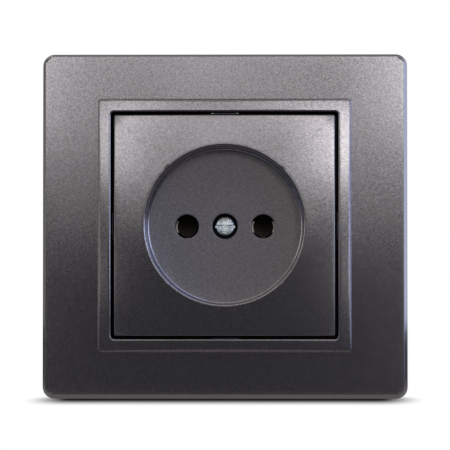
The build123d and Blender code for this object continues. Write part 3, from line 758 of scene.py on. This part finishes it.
mesh = ring_skin()
mesh = with_blocks(mesh, JOIN, LACQUER, (6.0, 2.0, 1.3), (0, -5.1, 29.75), 2, HOOK_SPACING, 4, slope=1.5)
mesh = with_blocks(mesh, CUT, LACQUER, (6.8, 1.7, 5.3), (0, -1.75, 27.85), sides=4)
add_piece("ring_moulding", mesh, LACQUER, ["trim_ring"])

mesh = plate_skin()
mesh = with_blocks(mesh, JOIN, LACQUER, (RIB, 3.6, 4.6), (0, -5.8, 23.4), sides=4)
mesh = with_blocks(mesh, JOIN, LACQUER, (RIB, 2.6, 13.7), (0, -6.3, 27.95), sides=4, first_turn=45)
mesh = with_blocks(mesh, JOIN, LACQUER, (1.1, 3.2, 2.0), (27.15, -5.0, -4.9))
add_piece("plate_moulding", mesh, LACQUER, ["cover_plate"])

# %% [markdown]
# A screw thread is a rule: go once round and the profile moves along by one pitch. So the screws start as turned
# bodies with fine rows of points, and a Geometry Nodes tree pulls each point inwards by how far it is from the
# crest. The same tree cuts the straight knurl of the brass insert, where the profile repeats round the axis.


# %% Tree for threads and knurls
def groove_tree():
    """The tree: phase grows along and round the axis, and a point midway between crests goes in by Depth."""
    tree, given = tree_with("grooves", {
        "Turns per metre": "Float", "Ridges": "Int", "Depth": "Float", "Start": "Float", "End": "Float",
        "Run out": "Float", "Material": "Material"})
    place = add(tree, "ShaderNodeSeparateXYZ", {0: add(tree, "GeometryNodeInputPosition")})
    x, y, z = place.outputs
    angle = add(tree, "ShaderNodeMath", {0: z, 1: x}, operation="ARCTAN2")
    round_it = add(tree, "ShaderNodeMath", {0: angle, 1: 1 / math.tau}, operation="MULTIPLY")
    by_angle = add(tree, "ShaderNodeMath", {0: round_it, 1: given["Ridges"]}, operation="MULTIPLY")
    phase = add(tree, "ShaderNodeMath", {
        0: y, 1: given["Turns per metre"], 2: by_angle}, operation="MULTIPLY_ADD")
    from_crest = add(tree, "ShaderNodeMath", {0: phase, 1: 0.5}, operation="PINGPONG")
    start_end = add(tree, "ShaderNodeMath", {0: given["Start"], 1: given["Run out"]}, operation="ADD")
    end_start = add(tree, "ShaderNodeMath", {0: given["End"], 1: given["Run out"]}, operation="SUBTRACT")
    fade_in = add(tree, "ShaderNodeMapRange", {"Value": y, "From Min": given["Start"], "From Max": start_end})
    fade_out = add(tree, "ShaderNodeMapRange", {
        "Value": y, "From Min": end_start, "From Max": given["End"], "To Min": 1.0, "To Max": 0.0})
    fade = add(tree, "ShaderNodeMath", {0: fade_in, 1: fade_out}, operation="MULTIPLY")
    pull = add(tree, "ShaderNodeMath", {0: from_crest, 1: -2.0}, operation="MULTIPLY")
    faded = add(tree, "ShaderNodeMath", {0: pull, 1: fade}, operation="MULTIPLY")
    far = add(tree, "ShaderNodeMath", {0: faded, 1: given["Depth"]}, operation="MULTIPLY")
    from_axis = add(tree, "ShaderNodeCombineXYZ", {0: x, 2: z})
    outwards = add(tree, "ShaderNodeVectorMath", {0: from_axis}, operation="NORMALIZE")
    shift = add(tree, "ShaderNodeVectorMath", {0: outwards, "Scale": far}, operation="SCALE")
    moved = add(tree, "GeometryNodeSetPosition", {"Geometry": given["Geometry"], "Offset": shift})
    close_tree(tree, moved, given["Material"])
    return tree


GROOVES = groove_tree()


def with_grooves(mesh, material, start, end, depth, pitch=0.0, ridges=1, run_out=0.5):
    """The mesh, turned about Y, with a thread of that pitch or with straight ridges, in millimetres."""
    return evaluated(mesh, "NODES", {
        "tree": GROOVES, "Turns per metre": 1 / (pitch * MM) if pitch else 0.0, "Ridges": ridges,
        "Depth": depth * MM, "Start": start * MM, "End": end * MM, "Run out": run_out * MM,
        "Material": material})


print("nodes in the groove tree:", len(GROOVES.nodes))

# %% [markdown]
# All five screws have a thread of 3 mm with a pitch of 0.5 mm. The middle one has a combined slot and cross. The
# terminal screws have a plain slot, are made lying down as the middle one, and are then stood up in their blocks.

# %% Screws
SCREW_RADIUS = 1.5
PITCH = 0.5
THREAD_DEPTH = 0.27
THREAD_ROWS = 8
SCREW_STEPS = 32
SLOT = 0.8
TERMINAL_PLACES = {"inner": 7.6, "outer": 13.6}


def turned_body(profile, fine):
    """A closed turned body. profile holds (radius, depth, rounding) corners, and fine is (start, end, row
    spacing) of the stretch that gets grooves."""
    line = rounded(profile)
    start, end, gap = fine
    rows = []
    for a, b in zip(line, line[1:]):
        rows.append(a)
        if abs(a.real - b.real) < 1e-6 and min(a.imag, b.imag) < (start + end) / 2 < max(a.imag, b.imag):
            count = round(abs(b.imag - a.imag) / gap)
            rows += [a + (b - a) * k / count for k in range(1, count)]
    rows.append(line[-1])
    bm = bmesh.new()
    ring_rows = [[(p.real * c, p.imag, p.real * s) for _, _, c, s in even_circle(1.0, SCREW_STEPS)] for p in rows]
    ends = add_rows(bm, ring_rows)
    for ring in ends:
        bm.faces.new(ring)
    return as_mesh(bm, "turned_body")


def machine_screw(material, head, seat, tip, head_height, edge):
    """A screw along Y with its head towards -Y, seated at the given depth, still without a slot."""
    top = seat - head_height
    profile = [(0.05, top, 0), (head, top, edge), (head, seat, 0.1), (SCREW_RADIUS, seat, 0.12),
               (SCREW_RADIUS, tip - 0.4, 0.05), (SCREW_RADIUS - 0.4, tip, 0.05), (0.05, tip, 0)]
    body = turned_body(profile, (seat + 0.6, tip - 0.3, PITCH / THREAD_ROWS))
    return with_grooves(body, material, seat + 0.5, tip - 0.1, THREAD_DEPTH, PITCH)


mesh = machine_screw(BLUE_ZINC, 2.45, SEAT_BACK, 14.2, 1.9, 0.35)
mesh = with_blocks(mesh, CUT, BLUE_ZINC, (7.0, 1.9, SLOT), (0, 1.25, 0))
mesh = with_blocks(mesh, CUT, BLUE_ZINC, (SLOT, 1.9, 3.04), (0, 1.25, 0))
add_piece("cover_screw_threaded", mesh, BLUE_ZINC, ["cover_screw"])

for side, sign in (("left", -1), ("right", 1)):
    for where, x in TERMINAL_PLACES.items():
        mesh = machine_screw(YELLOW_ZINC, 2.3, 0.0, 3.6, 2.0, 0.3)
        mesh = with_blocks(mesh, CUT, YELLOW_ZINC, (7.0, 1.8, SLOT), (0, -2.0, 0))
        place = Matrix.Translation(Vector((sign * x, 12.5, 17.0)) * MM)
        mesh.transform(place @ Matrix.Rotation(math.radians(-90), 4, "X"))
        name = f"terminal_screw_{side}_{where}"
        add_piece(name + "_threaded", mesh, YELLOW_ZINC, [name])

# %% [markdown]
# The brass insert is turned, with a flange in front and a straight knurl of 24 ridges that grips the base.

# %% Knurled insert
INSERT_STEPS = 96
KNURL_RIDGES = 24
KNURL_DEPTH = 0.16
INSERT_PROFILE = [
    (1.55, 4.9, 0), (2.9, 4.9, 0.1), (2.9, 5.4, 0.1), (2.6, 5.5, 0.05), (2.6, 6.5, 0.05), (2.8, 6.6, 0.05),
    (2.8, 10.4, 0.05), (2.6, 10.5, 0.05), (2.6, 11.9, 0.12), (1.55, 11.9, 0)]


def knurled_insert():
    bm = bmesh.new()
    ways = even_circle(1.0, INSERT_STEPS)
    rows = [[(p.real * c, p.imag, p.real * s) for _, _, c, s in ways] for p in rounded(INSERT_PROFILE)]
    add_rows(bm, rows, closed=True)
    body = as_mesh(bm, "insert")
    return with_grooves(body, TURNED_BRASS, 6.55, 10.45, KNURL_DEPTH, ridges=KNURL_RIDGES, run_out=0.05)


add_piece("threaded_insert_knurled", knurled_insert(), TURNED_BRASS, ["threaded_insert"], 50.0)

# %% [markdown]
# The socket stands on a white card. To the camera the card is as white as the background, so it simply glows, and
# the soft dark line where the frame meets it is drawn in its surface by place: darkest under the frame, and fading
# out before it, behind it and at its ends. A real shadow would need a bright card, and the lacquer would mirror
# that. So for all other rays the card is dim, and only a long pool along the foot of the frame glows, from a
# little before it to well behind it. That is what the lower side of the frame reflects.

# %% Floor
CARD_HALF = 4.0
# Rows of (from, to, glow before, glow after) in depth: the pool begins, it ends, and it dims under the frame
POOL = ((-34, -20, 0.0, 1.0), (30, 200, 1.0, 0.0), (-16, -8, 0.2, 0.115))
SHADOW_HALF = 37
SHADOW_ENDS = 4.5
SHADOW_BEHIND = 1.6
SHADOW_FADE = (9, 58)
DARKEST = 0.012


def pool_of_light(tree, depth):
    """How strongly the card glows for all rays but the camera's, by its depth."""
    front, behind, under = (add(tree, "ShaderNodeMapRange", {
        "Value": depth, "From Min": start * MM, "From Max": end * MM, "To Min": before, "To Max": after})
        for start, end, before, after in POOL)
    ends = add(tree, "ShaderNodeMath", {0: front, 1: behind}, operation="MULTIPLY")
    return add(tree, "ShaderNodeMath", {0: ends, 1: under}, operation="MULTIPLY")


def contact_shadow(tree, across, depth):
    """How bright the card is to the camera, by the distance from the foot of the frame."""
    width = add(tree, "ShaderNodeMath", {0: across}, operation="ABSOLUTE")
    past = add(tree, "ShaderNodeMath", {0: width, 1: SHADOW_HALF * MM}, operation="SUBTRACT")
    aside = add(tree, "ShaderNodeMath", {0: past, 1: 0.0}, operation="MAXIMUM")
    wide = add(tree, "ShaderNodeMath", {0: aside, 1: SHADOW_ENDS}, operation="MULTIPLY")
    behind = add(tree, "ShaderNodeMath", {0: depth, 1: SHADOW_BEHIND}, operation="MULTIPLY")
    before = add(tree, "ShaderNodeMath", {0: depth, 1: -1.0}, operation="MULTIPLY")
    along = add(tree, "ShaderNodeMath", {0: behind, 1: before}, operation="MAXIMUM")
    away = add(tree, "ShaderNodeCombineXYZ", {0: wide, 1: along})
    far = add(tree, "ShaderNodeVectorMath", {0: away}, operation="LENGTH").outputs["Value"]
    return add(tree, "ShaderNodeMapRange", {
        "Value": far, "From Min": SHADOW_FADE[0] * MM, "From Max": SHADOW_FADE[1] * MM,
        "To Min": DARKEST}, interpolation_type="SMOOTHSTEP")


def white_card():
    material, tree, shader, coords = new_material("white_card", Specular_IOR_Level=0.0)
    mottle = add(tree, "ShaderNodeTexNoise", {"Vector": coords, "Scale": per(60.0)})
    tint = add(tree, "ShaderNodeValToRGB", {"Fac": mottle}, [(0.3, "3c3c3c"), (0.7, "444444")])
    feed(tree, shader, {"Base Color": tint})
    x, y, _ = add(tree, "ShaderNodeSeparateXYZ", {0: coords}).outputs
    pool = pool_of_light(tree, y)
    lit = add(tree, "ShaderNodeEmission", {"Color": linear("fff6f2"), "Strength": pool})
    card = add(tree, "ShaderNodeAddShader", {0: shader, 1: lit})
    shade = contact_shadow(tree, x, y)
    glow = add(tree, "ShaderNodeEmission", {"Color": linear("ffffff"), "Strength": shade})
    seen = add(tree, "ShaderNodeLightPath").outputs["Is Camera Ray"]
    both = add(tree, "ShaderNodeMixShader", {0: seen, 1: card, 2: glow})
    output = next(node for node in tree.nodes if node.type == "OUTPUT_MATERIAL")
    feed(tree, output, {"Surface": both})
    return material


def add_floor():
    height = cad_box[0][2]
    mesh = bpy.data.meshes.new("floor")
    corners = [(sx * CARD_HALF, sy * CARD_HALF, height) for sx, sy in ((-1, -1), (1, -1), (1, 1), (-1, 1))]
    mesh.from_pydata(corners, [], [(0, 1, 2, 3)])
    mesh.materials.append(white_card())
    floor = bpy.data.objects.new("floor", mesh)
    bpy.context.scene.collection.objects.link(floor)
    return height


print("floor in mm:", round(add_floor() / MM, 2))

# %% [markdown]
# The light is plain and soft. Satin lacquer mirrors what is in front of it, blurred, so the soft highlights of the
# photograph suggest where its lights were: a wide bank above the camera, uneven from left to right. Three rows of
# small dim lamps make it. Two more stand low in front, a large one stands at each side, the right one cool, and
# one behind lights the back.


# %% Lamps
def add_lamp(name, azimuth, elevation, distance, size, power, colour):
    """A soft box that faces the socket. Azimuth 0 is in front, 90 to the right, sizes in millimetres."""
    data = bpy.data.lights.new(name, "AREA")
    data.shape = "RECTANGLE"
    data.size, data.size_y = (side * MM for side in size)
    data.energy = power
    data.color = linear(colour)[:3]
    lamp = bpy.data.objects.new(name, data)
    a, e = math.radians(azimuth), math.radians(elevation)
    way = Vector((math.sin(a) * math.cos(e), -math.cos(a) * math.cos(e), math.sin(e)))
    lamp.location = way * distance * MM
    lamp.rotation_euler = (-lamp.location).to_track_quat("-Z", "Y").to_euler()
    lamp.visible_camera = False
    bpy.context.scene.collection.objects.link(lamp)


# Rows of an elevation and each lamp's (azimuth, milliwatts), with angles in degrees
BANK = (
    (12.6, ((-8.0, 9.5), (-2.0, 4.0), (4.0, 9.5), (9.0, 3.5))),
    (8.6, ((-11.0, 14.0), (-4.0, 5.0), (0.0, 5.5), (8.0, 10.5), (11.0, 18.5))),
    (4.6, ((-8.0, 3.4), (4.0, 3.9), (11.0, 5.0))),
)
BANK_DISTANCE = 600
BANK_LAMP = (60, 60)
for elevation, row in BANK:
    for azimuth, milliwatts in row:
        name = f"bank_{elevation:.0f}_{azimuth:.0f}"
        add_lamp(name, azimuth, elevation, BANK_DISTANCE, BANK_LAMP, milliwatts / 1000, "fefeff")
LAMPS = {
    "low_left": (-16, -2.4, 600, (120, 60), 0.006, "fffafc"),
    "low_right": (16, -2.4, 600, (120, 60), 0.023, "fffafc"),
    "side_left": (-60, 10, 800, (400, 400), 0.35, "fffcfb"),
    "side_right": (65, 5, 800, (500, 400), 0.8, "cbd8ff"),
    "back": (-140, 50, 900, (400, 400), 3.0, "ffffff"),
}
for name, values in LAMPS.items():
    add_lamp(name, *values)
print("lamps:", len(bpy.data.lights))

# %% [markdown]
# The room is white to the camera. What the socket mirrors is another room: dark in front, where the bank is, and
# lighter to the sides, above and behind, with a cool even glow from the right. Directions here run from -1 to 1,
# with -1 in front, to the left and below.

# %% Room
# Rows of (from, to, value before, value after): the dark front ends, the glow grows upwards, the right begins
ROOM = ((-0.92, -0.6, 0.0, 1.0), (0.2, 0.7, 0.11, 0.5), (0.1, 0.3, 0.0, 1.0))
RIGHT_GLOW = 0.85
DARK_FRONT = 0.012


def light_the_room():
    world = bpy.data.worlds.new("studio")
    world.use_nodes = True
    bpy.context.scene.world = world
    tree = world.node_tree
    tree.nodes.clear()
    seen = add(tree, "ShaderNodeBackground", {"Color": linear("ffffff"), "Strength": 1.0})
    way = add(tree, "ShaderNodeSeparateXYZ", {0: add(tree, "ShaderNodeTexCoord").outputs["Generated"]})
    x, y, z = way.outputs
    aside, up, right = (add(tree, "ShaderNodeMapRange", {
        "Value": axis, "From Min": start, "From Max": end, "To Min": before, "To Max": after})
        for axis, (start, end, before, after) in zip((y, z, x), ROOM))
    level = add(tree, "ShaderNodeMix", {0: right, 2: up, 3: RIGHT_GLOW})
    strength = add(tree, "ShaderNodeMath", {0: aside, 1: level, 2: DARK_FRONT}, operation="MULTIPLY_ADD")
    tint = add(tree, "ShaderNodeMix", {0: right, 6: linear("fff8f6"), 7: linear("cbd8ff")}, data_type="RGBA")
    around = add(tree, "ShaderNodeBackground", {"Color": tint.outputs[2], "Strength": strength})
    to_camera = add(tree, "ShaderNodeLightPath").outputs["Is Camera Ray"]
    both = add(tree, "ShaderNodeMixShader", {0: to_camera, 1: around, 2: seen})
    add(tree, "ShaderNodeOutputWorld", {"Surface": both})
    return tree


print("nodes in the room:", len(light_the_room().nodes))
